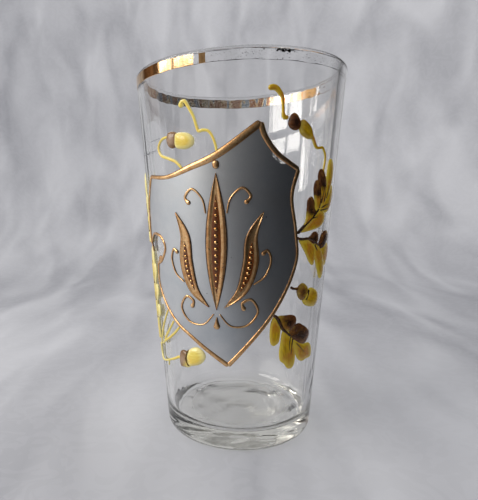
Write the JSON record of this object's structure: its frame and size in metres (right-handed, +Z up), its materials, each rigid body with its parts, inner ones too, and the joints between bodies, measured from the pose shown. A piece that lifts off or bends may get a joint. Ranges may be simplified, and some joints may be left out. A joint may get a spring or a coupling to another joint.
{
  "type": "beer glass",
  "caption": "Straight conical beer tumbler of clear glass with a thick bottom, a gold rim band and a fired-on enamel shield with raised gilt ornament, oak leaves and acorns.",
  "frame": {"origin": "centre of the flat underside of the foot, on the glass's axis", "axes": "+Z up the axis to the rim, -Y out through the front of the shield, +X to the right of someone facing the shield"},
  "size_m": [0.0888, 0.0888, 0.1585],
  "materials": {
    "clear_glass": "clear, fire-polished, faintly grey-green in the thick bottom",
    "burnished_gold": "thin burnished gold, mirror bright, worn away in places",
    "blue_grey_enamel": "opaque satin enamel",
    "raised_gilding": "gold over raised paste, satin, darker in the hollows",
    "brown_panel": "glossy dark brown enamel with small gold beads",
    "yellow_enamel": "glossy raised yellow enamel",
    "olive_enamel": "glossy raised olive and brown enamel",
    "brown_enamel": "glossy raised dark brown enamel"
  },
  "bodies": {
    "root": {"glass_tumbler": "clear_glass", "gold_rim_band": "burnished_gold", "shield_ground": "blue_grey_enamel", "shield_border": "raised_gilding", "ornament_centre_leaf": "raised_gilding", "ornament_centre_panel": "brown_panel", "ornament_leaf_left": "raised_gilding", "ornament_leaf_right": "raised_gilding", "ornament_panel_left": "brown_panel", "ornament_panel_right": "brown_panel", "ornament_scroll_left": "raised_gilding", "ornament_scroll_right": "raised_gilding", "ornament_tendril_left": "raised_gilding", "ornament_tendril_right": "raised_gilding", "ornament_curl_left": "raised_gilding", "ornament_curl_right": "raised_gilding", "ornament_drop": "raised_gilding", "ornament_finial": "raised_gilding", "acorn_top_left_stem": "yellow_enamel", "acorn_top_left_cup": "brown_enamel", "acorn_top_left_nut": "yellow_enamel", "tendril_top_left": "yellow_enamel", "acorn_bottom_left_stem": "yellow_enamel", "acorn_bottom_left_cup": "brown_enamel", "acorn_bottom_left_nut": "yellow_enamel", "left_forked_stem": "yellow_enamel", "leaf_lower_left": "yellow_enamel", "leaf_upper_left": "yellow_enamel", "tendril_top_right": "olive_enamel", "acorn_top_right_cup": "brown_enamel", "acorn_top_right_nut": "yellow_enamel", "acorn_top_right_tail": "olive_enamel", "leaf_upper_right": "olive_enamel", "leaf_middle_right": "olive_enamel", "leaf_lower_right": "olive_enamel", "acorn_right_stem": "brown_enamel", "acorn_right_cup": "brown_enamel", "acorn_right_nut": "yellow_enamel"}
  },
  "joints": []
}
